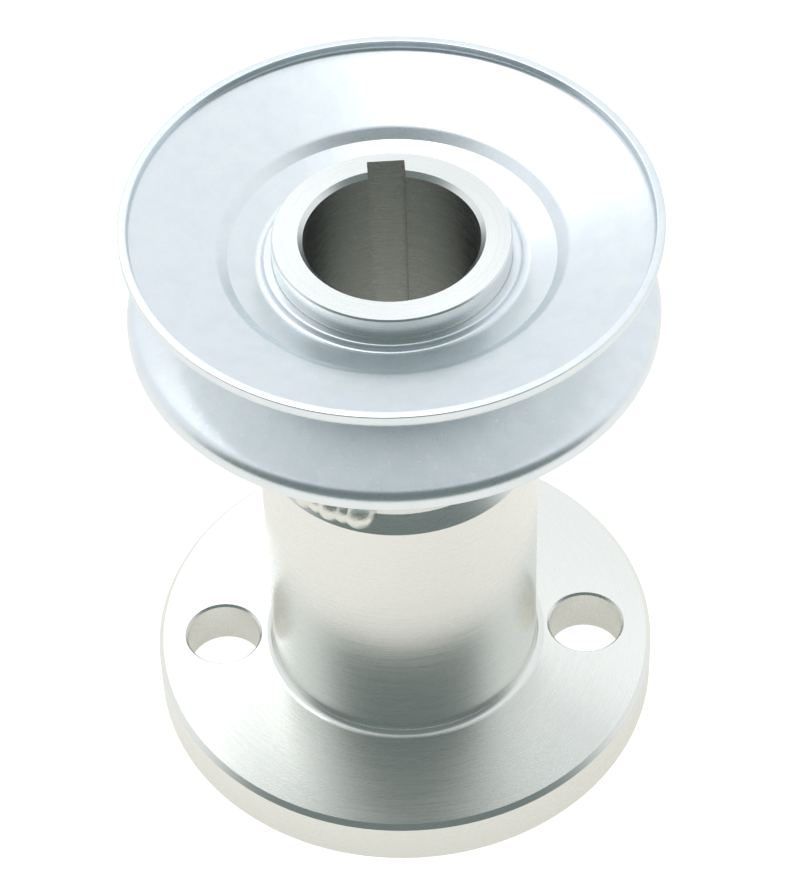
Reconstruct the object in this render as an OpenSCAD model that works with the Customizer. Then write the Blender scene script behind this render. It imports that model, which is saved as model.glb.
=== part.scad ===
// Mower blade adapter: a keyed sleeve that slides on an engine crankshaft, a pressed two-piece
// belt sheave near its top, and a flanged tube that clamps the blade to the flange's underside.
// Origin: centre of the bore on the flange's bottom face. +Z runs up the bore, blade bolts on X.

/* [Bore and keyway] */
// Diameter of the crankshaft bore
bore_d = 22.22; // [21.5:0.01:23]
// Width of the keyway
key_w = 4.76; // [3.5:0.01:6]
// Depth of the keyway, measured from the bore's axis
key_reach = 13.35; // [12.4:0.05:14]
// Turn of the keyway from the +Y direction
key_turn = 2; // [-20:1:20]
// Chamfer at both mouths of the bore
bore_chamfer = 0.6; // [0.2:0.1:1]

/* [Sleeve] */
// Height of the sleeve's top face above the flange's bottom face
sleeve_h = 84; // [83:0.5:90]
// Diameter of the sleeve inside the tube and up to the sheave
sleeve_d = 33; // [32.5:0.1:34]
// Diameter of the neck that the sheave sits on
neck_d = 30; // [29:0.1:30.5]
// Break of the sharp edge round the neck's top face
neck_edge = 0.2; // [0.1:0.05:0.5]

/* [Flanged tube] */
// Outer diameter of the tube
tube_d = 36.8; // [36:0.1:39]
// Height of the tube's top outer edge, where its chamfer starts
tube_edge_h = 48.35; // [40:0.05:55]
// Fillet where the tube meets the flange
foot_fillet = 1.2; // [0.5:0.1:3]
// Diameter of the flange
flange_d = 69; // [68:0.5:75]
// Thickness of the flange
flange_t = 7.2; // [5:0.1:10]
// Chamfer round the flange's top edge
flange_chamfer = 0.65; // [0.2:0.05:1.5]
// Chamfer round the flange's bottom edge
flange_under_chamfer = 0.3; // [0.1:0.05:1]

/* [Blade bolts] */
// Distance between the two bolt holes
bolt_spacing = 50.8; // [50:0.1:54]
// Diameter of each bolt hole
bolt_d = 10.2; // [8:0.1:11]
// Chamfer at each end of a bolt hole
bolt_chamfer = 0.3; // [0.1:0.05:0.6]

/* [Sheave] */
// Height of the plane where the two pressed halves meet
sheave_mid_h = 78.9; // [78.5:0.1:79]
// Diameter over the rim
rim_d = 67.6; // [66:0.1:80]
// Height of one half, from the meeting plane to the edge of its lip
half_h = 8.2; // [8:0.1:9]
// Thickness of the sheet
sheet_t = 1.15; // [1:0.05:1.2]
// Slope of each side of the belt groove
groove_slope = 19.5; // [18:0.5:20]
// Height of the collar's edge above the meeting plane
collar_h = 1.95; // [1.9:0.05:2.1]
// Radius where the flat round the collar ends
flat_r = 17.2; // [17.1:0.1:18]
// Slope of the dished ring between the flat and the step
dish_slope = 17; // [14:1:19]
// Radius where the step starts
step_r = 20.8; // [20:0.1:21.4]
// Radius where the step ends
step_end_r = 22.2; // [22:0.1:23]
// Slope of the step
step_slope = 35; // [30:1:40]

/* [Weld] */
// Number of weld beads round the top of the tube
bead_count = 3; // [1:1:4]
// Angle that one bead spans
bead_span = 38; // [20:1:60]
// Direction of the first bead's middle
bead_start = -127; // [-180:1:180]
// Radius of one drop of a bead
drop_r = 2.15; // [2:0.05:2.4]

/* [Hidden] */
$fn = 96;

bore_r = bore_d / 2;
neck_r = neck_d / 2;
sleeve_r = sleeve_d / 2;
tube_r = tube_d / 2;
flange_r = flange_d / 2;
tube_h = tube_edge_h + tube_r - sleeve_r;
shoulder_h = sheave_mid_h - collar_h;
lip_r = rim_d / 2 - sheet_t / 2;
through = 1;
bend_steps = 8;

// bend radii of the sheet's middle line
collar_bend = 0.5 + sheet_t / 2;
dish_bend = 2;
step_bend = 0.2 + sheet_t / 2;
crown_bend = 2 - sheet_t / 2;
lip_bend = 0.65 + sheet_t / 2;

// drops in one bead, and how much every second one is smaller
drop_count = 7;
drop_change = 0.25;
bead_r = sleeve_r + 0.35;
bead_h = tube_h + 0.1;

function unit(v) = v / norm(v);
function left_of(v) = [-v.y, v.x];
function turned(v, a) = [v.x * cos(a) - v.y * sin(a), v.x * sin(a) + v.y * cos(a)];
function turn_angle(a, b) = atan2(a.x * b.y - a.y * b.x, a.x * b.x + a.y * b.y);

// points of one bend: the corner's tangent arc, moved by shift to the left of the way along the path
function bend_points(before, corner, after, radius, shift) =
    let (d0 = unit(corner - before),
         d1 = unit(after - corner),
         angle = turn_angle(d0, d1),
         s = sign(angle),
         centre = corner - d0 * radius * tan(abs(angle) / 2) + left_of(d0) * s * radius,
         spoke = left_of(d0) * -s)
    [for (k = [0 : bend_steps]) centre + turned(spoke, angle * k / bend_steps) * (radius - s * shift)];

// one face of a bent sheet, shift to the left of its middle line
function sheet_face(path, radii, shift) =
    let (last = len(path) - 1)
    [for (i = [0 : last])
        each i == 0 ? [path[0] + left_of(unit(path[1] - path[0])) * shift]
        : i == last ? [path[last] + left_of(unit(path[last] - path[last - 1])) * shift]
        : bend_points(path[i - 1], path[i], path[i + 1], radii[i - 1], shift)];

function reversed(list) = [for (i = [len(list) - 1 : -1 : 0]) list[i]];

// section of a sheet of one thickness along a path of straights and bends
module sheet_section(path, radii, thickness) {
    polygon(concat(sheet_face(path, radii, thickness / 2),
                   reversed(sheet_face(path, radii, -thickness / 2))));
}

// middle line of one pressed half, from its collar to its lip, above the meeting plane
dish_z = sheet_t / 2 + (step_r - flat_r) * tan(dish_slope);
cone_z = dish_z + (step_end_r - step_r) * tan(step_slope);
rim_z = cone_z + (lip_r - step_end_r) * tan(groove_slope);
half_path = [
    [neck_r + sheet_t / 2, collar_h],
    [neck_r + sheet_t / 2, sheet_t / 2],
    [flat_r, sheet_t / 2],
    [step_r, dish_z],
    [step_end_r, cone_z],
    [lip_r, rim_z],
    [lip_r, half_h],
];
half_radii = [collar_bend, dish_bend, step_bend, crown_bend, lip_bend];

module sheave_half() {
    rotate_extrude()
        sheet_section(half_path, half_radii, sheet_t);
}

module upper_sheave() {
    color([0.84, 0.89, 0.91])
        translate([0, 0, sheave_mid_h])
            sheave_half();
}

module lower_sheave() {
    color([0.76, 0.82, 0.82])
        translate([0, 0, sheave_mid_h])
            mirror([0, 0, 1])
                sheave_half();
}

module sleeve_section() {
    polygon([
        [bore_r, bore_chamfer],
        [bore_r + bore_chamfer, 0],
        [sleeve_r, 0],
        [sleeve_r, shoulder_h],
        [neck_r, shoulder_h],
        [neck_r, sleeve_h - neck_edge],
        [neck_r - neck_edge, sleeve_h],
        [bore_r + bore_chamfer, sleeve_h],
        [bore_r, sleeve_h - bore_chamfer],
    ]);
}

module keyway() {
    rotate([0, 0, key_turn])
        translate([-key_w / 2, 0, -through])
            cube([key_w, key_reach, sleeve_h + 2 * through]);
}

module keyed_sleeve() {
    color([0.80, 0.84, 0.84])
        difference() {
            rotate_extrude()
                sleeve_section();
            keyway();
        }
}

module tube_section() {
    difference() {
        polygon([
            [sleeve_r, 0],
            [flange_r - flange_under_chamfer, 0],
            [flange_r, flange_under_chamfer],
            [flange_r, flange_t - flange_chamfer],
            [flange_r - flange_chamfer, flange_t],
            [tube_r + foot_fillet, flange_t],
            [tube_r, flange_t + foot_fillet],
            [tube_r, tube_edge_h],
            [sleeve_r, tube_h],
        ]);
        translate([tube_r + foot_fillet, flange_t + foot_fillet])
            circle(r = foot_fillet);
    }
}

module bolt_hole() {
    mouth = bolt_d / 2 + bolt_chamfer + through;
    reach = bolt_chamfer + through;
    translate([0, 0, -through])
        cylinder(h = flange_t + 2 * through, d = bolt_d);
    translate([0, 0, -through])
        cylinder(h = reach, r1 = mouth, r2 = bolt_d / 2);
    translate([0, 0, flange_t - bolt_chamfer])
        cylinder(h = reach, r1 = bolt_d / 2, r2 = mouth);
}

module flanged_tube() {
    color([0.86, 0.88, 0.84])
        difference() {
            rotate_extrude()
                tube_section();
            for (side = [-1, 1])
                translate([side * bolt_spacing / 2, 0, 0])
                    bolt_hole();
        }
}

// one bead: overlapping drops laid along the joint, seen from the first to the last
module bead() {
    for (k = [0 : drop_count - 1])
        rotate([0, 0, bead_span * (k / (drop_count - 1) - 0.5)])
            translate([bead_r, 0, bead_h])
                sphere(r = drop_r - drop_change * (k % 2), $fn = 48);
}

module weld_beads() {
    color([0.82, 0.82, 0.76])
        difference() {
            for (i = [0 : bead_count - 1])
                rotate([0, 0, bead_start + 360 * i / bead_count])
                    bead();
            rotate_extrude() {
                square([sleeve_r, sleeve_h]);
                tube_section();
            }
        }
}

flanged_tube();
keyed_sleeve();
upper_sheave();
lower_sheave();
weld_beads();
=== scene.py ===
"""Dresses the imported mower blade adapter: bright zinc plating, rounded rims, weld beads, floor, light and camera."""

import math

import bpy
import numpy as np
from mathutils import Matrix, Vector, noise


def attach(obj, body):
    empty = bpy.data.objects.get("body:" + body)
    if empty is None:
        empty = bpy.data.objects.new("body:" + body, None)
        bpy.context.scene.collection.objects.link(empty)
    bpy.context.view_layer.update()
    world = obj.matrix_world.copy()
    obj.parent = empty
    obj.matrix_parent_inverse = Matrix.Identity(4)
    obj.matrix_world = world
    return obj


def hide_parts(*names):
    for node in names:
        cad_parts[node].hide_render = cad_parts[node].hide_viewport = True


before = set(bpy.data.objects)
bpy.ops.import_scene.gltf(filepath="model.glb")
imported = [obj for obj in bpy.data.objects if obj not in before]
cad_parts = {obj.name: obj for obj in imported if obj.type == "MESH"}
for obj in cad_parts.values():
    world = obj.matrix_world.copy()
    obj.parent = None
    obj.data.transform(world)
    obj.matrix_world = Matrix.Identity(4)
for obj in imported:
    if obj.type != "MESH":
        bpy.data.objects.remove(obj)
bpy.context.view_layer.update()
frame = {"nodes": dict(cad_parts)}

MM = 0.001

# Sizes of the pressed sheave in mm, the same values as in the part's source.
MID_H = 78.9
RIM_R = 33.8
HALF_H = 8.2
SHEET_T = 1.15
GROOVE_SLOPE = 19.5
COLLAR_H = 1.95
NECK_R = 15.0
FLAT_R = 17.2
DISH_SLOPE = 17.0
STEP_R = 20.8
STEP_END_R = 22.2
STEP_SLOPE = 35.0

# Sizes of the hub in mm.
BORE_R = 11.11
KEY_R = 13.35
TOP_H = 84.0
TUBE_R = 18.4
TUBE_EDGE_H = 48.35
SLEEVE_R = 16.5
FLANGE_R = 34.5
FLANGE_T = 7.2


# ---------------------------------------------------------------- materials

class Shader:
    """Builds one node material. Positions are in mm, in the row frame; sockets or plain numbers go in and come out."""

    def __init__(self, name):
        self.material = bpy.data.materials.new(name)
        self.material.use_nodes = True
        self.nodes = self.material.node_tree.nodes
        self.links = self.material.node_tree.links
        self.nodes.clear()
        place = self.node("ShaderNodeTexCoord").outputs["Object"]
        self.p = self.vector("SCALE", place, scale=1000)
        split = self.node("ShaderNodeSeparateXYZ")
        self.put(self.p, split.inputs[0])
        self.x, self.y, self.z = split.outputs
        flat = self.node("ShaderNodeCombineXYZ")
        self.put(self.x, flat.inputs[0])
        self.put(self.y, flat.inputs[1])
        self.r = self.vector("LENGTH", flat.outputs[0])
        self.side = self.math("DIVIDE", self.x, self.r)
        self.facing = self.node("ShaderNodeNewGeometry").outputs["True Normal"]

    def node(self, kind, **settings):
        n = self.nodes.new(kind)
        for key, value in settings.items():
            setattr(n, key, value)
        return n

    def put(self, value, socket):
        if isinstance(value, bpy.types.NodeSocket):
            self.links.new(value, socket)
        else:
            socket.default_value = value

    def math(self, op, a, b=0.0, c=0.0, clamp=False):
        n = self.node("ShaderNodeMath", operation=op, use_clamp=clamp)
        for value, socket in zip((a, b, c), n.inputs):
            self.put(value, socket)
        return n.outputs[0]

    def vector(self, op, a, b=(0, 0, 0), scale=1.0):
        n = self.node("ShaderNodeVectorMath", operation=op)
        self.put(a, n.inputs[0])
        if op == "SCALE":
            self.put(scale, n.inputs["Scale"])
        else:
            self.put(b, n.inputs[1])
        return n.outputs["Value" if op in ("LENGTH", "DOT_PRODUCT", "DISTANCE") else "Vector"]

    def step(self, value, low, high, to_low=0.0, to_high=1.0):
        """A soft step: to_low at low, to_high at high. low may be the larger one."""
        n = self.node("ShaderNodeMapRange", interpolation_type="SMOOTHSTEP")
        for v, socket in zip((value, low, high, to_low, to_high), n.inputs):
            self.put(v, socket)
        return n.outputs[0]

    def band(self, value, low, high, soft):
        """1 between low and high, 0 outside, with soft edges."""
        up = self.step(value, low - soft, low + soft)
        return self.math("MULTIPLY", up, self.step(value, high + soft, high - soft))

    def grain(self, scale, detail=4.0, rough=0.5, at=None, distortion=0.0, shift=0.0):
        """Noise from about 0 to 1 with features of 1/scale mm."""
        n = self.node("ShaderNodeTexNoise", noise_dimensions="4D")
        self.put(self.p if at is None else at, n.inputs["Vector"])
        for key, value in (("W", shift), ("Scale", scale), ("Detail", detail), ("Roughness", rough),
                           ("Distortion", distortion)):
            n.inputs[key].default_value = value
        return n.outputs["Fac"]

    def flow(self, across, along):
        """Coordinates for turning marks: fine across the radius and the height, long round the axis."""
        n = self.node("ShaderNodeCombineXYZ")
        self.put(self.math("MULTIPLY", self.r, across), n.inputs[0])
        self.put(self.math("MULTIPLY", self.z, across), n.inputs[1])
        self.put(self.math("MULTIPLY", self.side, along), n.inputs[2])
        return n.outputs[0]

    def all_of(self, *masks):
        out = masks[0]
        for m in masks[1:]:
            out = self.math("MULTIPLY", out, m)
        return out

    def any_of(self, *masks):
        out = masks[0]
        for m in masks[1:]:
            out = self.math("MAXIMUM", out, m)
        return out

    def mark(self, angle, radius, height, size, soft=0.5, wobble=None):
        """A spot on the surface. size is its half size outwards, round the axis and upwards, in mm."""
        a = math.radians(angle)
        n = self.node("ShaderNodeMapping", vector_type="TEXTURE")
        at = self.p
        if wobble:
            shake = self.node("ShaderNodeTexNoise")
            self.put(self.p, shake.inputs["Vector"])
            shake.inputs["Scale"].default_value = wobble[1]
            shake.inputs["Detail"].default_value = 3.0
            moved = self.vector("SCALE", self.vector("SUBTRACT", shake.outputs["Color"], (0.5, 0.5, 0.5)),
                                scale=2 * wobble[0])
            at = self.vector("ADD", self.p, moved)
        self.put(at, n.inputs["Vector"])
        n.inputs["Location"].default_value = (radius * math.cos(a), radius * math.sin(a), height)
        n.inputs["Rotation"].default_value = (0, 0, a)
        n.inputs["Scale"].default_value = size
        return self.step(self.vector("LENGTH", n.outputs[0]), 1.0 + soft, 1.0 - soft)


class Zinc(Shader):
    """Zinc plating: keeps colour, roughness, metal share and height in mm as they are built up."""

    def __init__(self, name, colour, rough, turned=0.0):
        super().__init__(name)
        self.colour = (*colour, 1.0)
        self.rough = rough
        self.metal = 1.0
        self.height = 0.0
        self.turned = turned

    def tint(self, mask, colour, amount=1.0, blend="MIX"):
        n = self.node("ShaderNodeMix", data_type="RGBA", blend_type=blend)
        self.put(self.math("MULTIPLY", mask, amount, clamp=True), n.inputs[0])
        self.put(self.colour, n.inputs[6])
        self.put((*colour, 1.0), n.inputs[7])
        self.colour = n.outputs[2]

    def gloss(self, mask, rough):
        n = self.node("ShaderNodeMix")
        self.put(mask, n.inputs[0])
        self.put(self.rough, n.inputs[2])
        self.put(rough, n.inputs[3])
        self.rough = n.outputs[0]

    def dull(self, mask, metal):
        n = self.node("ShaderNodeMix")
        self.put(mask, n.inputs[0])
        self.put(self.metal, n.inputs[2])
        self.put(metal, n.inputs[3])
        self.metal = n.outputs[0]

    def raised(self, mask, amount):
        self.height = self.math("MULTIPLY_ADD", mask, amount, self.height)

    def finish(self):
        shader = self.node("ShaderNodeBsdfPrincipled")
        self.put(self.colour, shader.inputs["Base Color"])
        self.put(self.rough, shader.inputs["Roughness"])
        self.put(self.metal, shader.inputs["Metallic"])
        bump = self.node("ShaderNodeBump")
        bump.inputs["Distance"].default_value = MM
        self.put(self.height, bump.inputs["Height"])
        self.put(bump.outputs[0], shader.inputs["Normal"])
        if self.turned:
            shader.inputs["Anisotropic"].default_value = self.turned
            tangent = self.node("ShaderNodeTangent", direction_type="RADIAL", axis="Z")
            self.put(tangent.outputs[0], shader.inputs["Tangent"])
        out = self.node("ShaderNodeOutputMaterial")
        self.put(shader.outputs[0], out.inputs[0])
        return self.material


def sheet_zinc(name, upper):
    """Plating on a pressed half of the sheave: satin, mottled all over, with fine speckles in its roughness and bumps.
    """
    s = Zinc(name, (0.80, 0.85, 0.88), 0.27)
    cloud = s.grain(0.35, 5, 0.6)
    fine = s.grain(3.2, 4, 0.65, shift=3)
    s.tint(s.step(cloud, 0.35, 0.7), (0.74, 0.80, 0.84), 0.7)
    s.gloss(s.step(fine, 0.3, 0.75), 0.36)
    s.raised(fine, 0.004)
    s.raised(s.grain(0.5, 2, 0.5, shift=9), 0.02)
    return s.finish()


def tube_zinc(name):
    s = Zinc(name, (0.82, 0.83, 0.80), 0.24, turned=0.5)
    lines = s.grain(1.0, 5, 0.7, at=s.flow(6.0, 1.5))
    s.gloss(s.step(lines, 0.3, 0.7), 0.33)
    s.raised(lines, 0.004)
    return s.finish()


def sleeve_zinc(name):
    s = Zinc(name, (0.80, 0.82, 0.81), 0.24, turned=0.3)
    lines = s.grain(1.0, 5, 0.7, at=s.flow(6.0, 1.5))
    s.gloss(s.step(lines, 0.3, 0.7), 0.33)
    s.raised(lines, 0.004)
    return s.finish()


def weld_zinc(name):
    s = Zinc(name, (0.78, 0.79, 0.74), 0.33)
    s.raised(s.grain(1.2, 5, 0.6), 0.15)
    return s.finish()


# ---------------------------------------------------------------- pieces

def bent_path(corners, radii, shift, steps):
    """Points of one face of a bent sheet, shift to the left of the middle line through the corners."""
    pts = []
    corners = [np.array(c, float) for c in corners]
    last = len(corners) - 1
    for i, c in enumerate(corners):
        if i in (0, last):
            d = corners[1] - c if i == 0 else c - corners[i - 1]
            d /= np.linalg.norm(d)
            pts.append(c + shift * np.array([-d[1], d[0]]))
            continue
        d0 = (c - corners[i - 1]) / np.linalg.norm(c - corners[i - 1])
        d1 = (corners[i + 1] - c) / np.linalg.norm(corners[i + 1] - c)
        angle = math.atan2(d0[0] * d1[1] - d0[1] * d1[0], d0 @ d1)
        s = math.copysign(1.0, angle)
        radius = radii[i - 1]
        left = np.array([-d0[1], d0[0]])
        centre = c - d0 * radius * math.tan(abs(angle) / 2) + left * s * radius
        for k in range(steps + 1):
            a = angle * k / steps
            spoke = -s * left
            turned = np.array([spoke[0] * math.cos(a) - spoke[1] * math.sin(a),
                               spoke[0] * math.sin(a) + spoke[1] * math.cos(a)])
            pts.append(centre + turned * (radius - s * shift))
    return pts


def rounded(a, corner, b, radius, steps=4):
    """Points that round the corner between a and b."""
    a, corner, b = (np.array(v, float) for v in (a, corner, b))
    u = (a - corner) / np.linalg.norm(a - corner)
    v = (b - corner) / np.linalg.norm(b - corner)
    half = math.acos(max(-1, min(1, u @ v))) / 2
    reach = radius / math.tan(half)
    start, end = corner + u * reach, corner + v * reach
    out = []
    for k in range(steps + 1):
        t = k / steps
        out.append((1 - t) ** 2 * start + 2 * t * (1 - t) * corner + t * t * end)
    return out


def dense(points, spacing):
    """The closed outline through points, with extra points so that none are further apart than spacing(point)."""
    out = []
    for a, b in zip(points, points[1:] + points[:1]):
        gap = np.linalg.norm(b - a)
        if gap < 1e-6:
            continue
        n = max(1, math.ceil(gap / spacing((a + b) / 2)))
        out += [a + (b - a) * k / n for k in range(n)]
    return out


def half_outline():
    """Closed section (radius, height above the meeting plane) of one pressed half, with its cut edges rounded."""
    t = SHEET_T
    dish = t / 2 + (STEP_R - FLAT_R) * math.tan(math.radians(DISH_SLOPE))
    cone = dish + (STEP_END_R - STEP_R) * math.tan(math.radians(STEP_SLOPE))
    lip = RIM_R - t / 2
    rim = cone + (lip - STEP_END_R) * math.tan(math.radians(GROOVE_SLOPE))
    corners = [(NECK_R + t / 2, COLLAR_H), (NECK_R + t / 2, t / 2), (FLAT_R, t / 2), (STEP_R, dish),
               (STEP_END_R, cone), (lip, rim), (lip, HALF_H)]
    radii = [0.5 + t / 2, 2.0, 0.2 + t / 2, 2.0 - t / 2, 0.65 + t / 2]
    inner = bent_path(corners, radii, t / 2, 10)
    outer = bent_path(corners, radii, -t / 2, 10)[::-1]
    top_in, top_out = inner[-1], outer[0]
    neck_out, neck_in = outer[-1], inner[0]
    pts = inner[1:-1]
    pts += rounded(inner[-2], top_in, top_out, 0.16)
    pts += rounded(top_in, top_out, outer[1], 0.2)
    pts += outer[1:-1]
    pts += rounded(outer[-2], neck_out, neck_in, 0.05, 2)
    pts += rounded(neck_out, neck_in, inner[1], 0.25)
    return [np.array(p) for p in pts]


def revolve(name, section, around, shape):
    """A turned mesh from a closed section; shape(angles, radii, heights) returns the moved radii and heights."""
    section = np.array(section)
    angles = np.linspace(0, 2 * math.pi, around, endpoint=False)
    a, r = np.meshgrid(angles, section[:, 0], indexing="ij")
    _, z = np.meshgrid(angles, section[:, 1], indexing="ij")
    r, z = shape(a, r, z)
    co = np.stack([r * np.cos(a), r * np.sin(a), z], axis=-1).reshape(-1, 3) * MM
    n = len(section)
    i, k = np.meshgrid(np.arange(around), np.arange(n), indexing="ij")
    i2, k2 = (i + 1) % around, (k + 1) % n
    faces = np.stack([i * n + k, i2 * n + k, i2 * n + k2, i * n + k2], axis=-1).reshape(-1, 4)
    mesh = bpy.data.meshes.new(name)
    mesh.vertices.add(len(co))
    mesh.vertices.foreach_set("co", co.ravel())
    mesh.loops.add(faces.size)
    mesh.loops.foreach_set("vertex_index", faces.ravel())
    mesh.polygons.add(len(faces))
    mesh.polygons.foreach_set("loop_start", np.arange(0, faces.size, 4))
    mesh.polygons.foreach_set("use_smooth", np.ones(len(faces), bool))
    mesh.update(calc_edges=True)
    mesh.validate()
    obj = bpy.data.objects.new(name, mesh)
    bpy.context.scene.collection.objects.link(obj)
    return obj


def sheave_half(name, upper):
    sign = 1 if upper else -1
    fine_near = [(RIM_R - SHEET_T / 2, HALF_H), (NECK_R + SHEET_T / 2, COLLAR_H)]

    def spacing(p):
        near = min(math.hypot(p[0] - x, p[1] - y) for x, y in fine_near)
        return 0.2 if near < 1.2 else 0.8

    section = dense(half_outline(), spacing)

    def shape(a, r, z):
        return r, MID_H + sign * z

    if not upper:
        section = section[::-1]
    return revolve(name, section, 900, shape)


def dress(piece, material):
    piece.data.materials.clear()
    piece.data.materials.append(material)


nodes = frame["nodes"]
dress(nodes["flanged_tube"], tube_zinc("zinc_on_tube"))
dress(nodes["keyed_sleeve"], sleeve_zinc("zinc_on_sleeve"))
dress(nodes["weld_beads"], weld_zinc("zinc_on_weld"))
for piece_name, node_name, is_upper in (("upper_pressing", "upper_sheave", True), ("lower_pressing", "lower_sheave", False)):
    piece = sheave_half(piece_name, is_upper)
    dress(piece, sheet_zinc("zinc_on_" + piece_name, is_upper))
    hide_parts(node_name)
    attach(piece, "root")


# ---------------------------------------------------------------- floor, light and camera

def floor():
    mesh = bpy.data.meshes.new("floor")
    ring = [(3 * math.cos(k * math.pi / 48), 3 * math.sin(k * math.pi / 48), 0) for k in range(96)]
    mesh.from_pydata(ring, [], [tuple(range(96))])
    obj = bpy.data.objects.new("floor", mesh)
    bpy.context.scene.collection.objects.link(obj)
    material = bpy.data.materials.new("pale_floor")
    material.use_nodes = True
    nodes, links = material.node_tree.nodes, material.node_tree.links
    nodes.clear()
    diffuse = nodes.new("ShaderNodeBsdfDiffuse")
    diffuse.inputs["Color"].default_value = (0.55, 0.55, 0.55, 1)
    light = nodes.new("ShaderNodeEmission")
    path = nodes.new("ShaderNodeLightPath")
    warm = nodes.new("ShaderNodeMix")
    warm.data_type = "RGBA"
    warm.inputs[6].default_value = (0.9, 0.9, 0.9, 1)
    warm.inputs[7].default_value = (0.50, 0.485, 0.44, 1)
    links.new(path.outputs["Is Glossy Ray"], warm.inputs[0])
    links.new(warm.outputs[2], light.inputs["Color"])
    seen = nodes.new("ShaderNodeMath")
    seen.operation = "MAXIMUM"
    links.new(path.outputs["Is Camera Ray"], seen.inputs[0])
    links.new(path.outputs["Is Glossy Ray"], seen.inputs[1])
    links.new(seen.outputs[0], light.inputs["Strength"])
    both = nodes.new("ShaderNodeAddShader")
    links.new(diffuse.outputs[0], both.inputs[0])
    links.new(light.outputs[0], both.inputs[1])
    out = nodes.new("ShaderNodeOutputMaterial")
    links.new(both.outputs[0], out.inputs[0])
    mesh.materials.append(material)


def studio():
    """A bright tent from the far horizon to overhead, and the darker room on the near side of the camera."""
    world = bpy.data.worlds.new("studio")
    bpy.context.scene.world = world
    world.use_nodes = True
    nodes, links = world.node_tree.nodes, world.node_tree.links
    nodes.clear()

    def new(kind, **settings):
        n = nodes.new(kind)
        for key, value in settings.items():
            setattr(n, key, value)
        return n

    way = new("ShaderNodeTexCoord")
    split = new("ShaderNodeSeparateXYZ")
    links.new(way.outputs["Generated"], split.inputs[0])
    near = new("ShaderNodeMapRange", interpolation_type="SMOOTHSTEP")
    links.new(split.outputs[1], near.inputs[0])
    near.inputs[1].default_value = -0.05
    near.inputs[2].default_value = -0.40
    room = new("ShaderNodeMix", data_type="RGBA")
    links.new(near.outputs[0], room.inputs[0])
    room.inputs[6].default_value = (0.95, 0.98, 1.0, 1)
    room.inputs[7].default_value = (0.16, 0.20, 0.20, 1)
    path = new("ShaderNodeLightPath")
    seen = new("ShaderNodeMix", data_type="RGBA")
    links.new(path.outputs["Is Glossy Ray"], seen.inputs[0])
    seen.inputs[6].default_value = (0.85, 0.85, 0.85, 1)
    links.new(room.outputs[2], seen.inputs[7])
    white = new("ShaderNodeMix", data_type="RGBA")
    links.new(path.outputs["Is Camera Ray"], white.inputs[0])
    links.new(seen.outputs[2], white.inputs[6])
    white.inputs[7].default_value = (1, 1, 1, 1)
    back = new("ShaderNodeBackground")
    links.new(white.outputs[2], back.inputs[0])
    out = new("ShaderNodeOutputWorld")
    links.new(back.outputs[0], out.inputs[0])


def lamp(name, place, target, size, watts):
    light = bpy.data.lights.new(name, "AREA")
    light.shape = "DISK"
    light.size = size
    light.energy = watts
    obj = bpy.data.objects.new(name, light)
    obj.location = place
    obj.rotation_euler = (Vector(target) - Vector(place)).to_track_quat("-Z", "Y").to_euler()
    bpy.context.scene.collection.objects.link(obj)


def camera():
    data = bpy.data.cameras.new("camera")
    data.lens = 138.62
    data.sensor_width = 36.0
    data.clip_start, data.clip_end = 0.05, 20.0
    obj = bpy.data.objects.new("camera", data)
    obj.location = (0.0, -0.302495, 0.377447)
    obj.rotation_euler = [math.radians(a) for a in (42.36890, 1.25536, -1.41433)]
    bpy.context.scene.collection.objects.link(obj)
    bpy.context.scene.camera = obj


floor()
studio()
lamp("softbox", (-0.25, 0.45, 1.1), (0, 0, 0.05), 0.7, 2.0)
camera()
bpy.context.scene.view_settings.view_transform = "Standard"
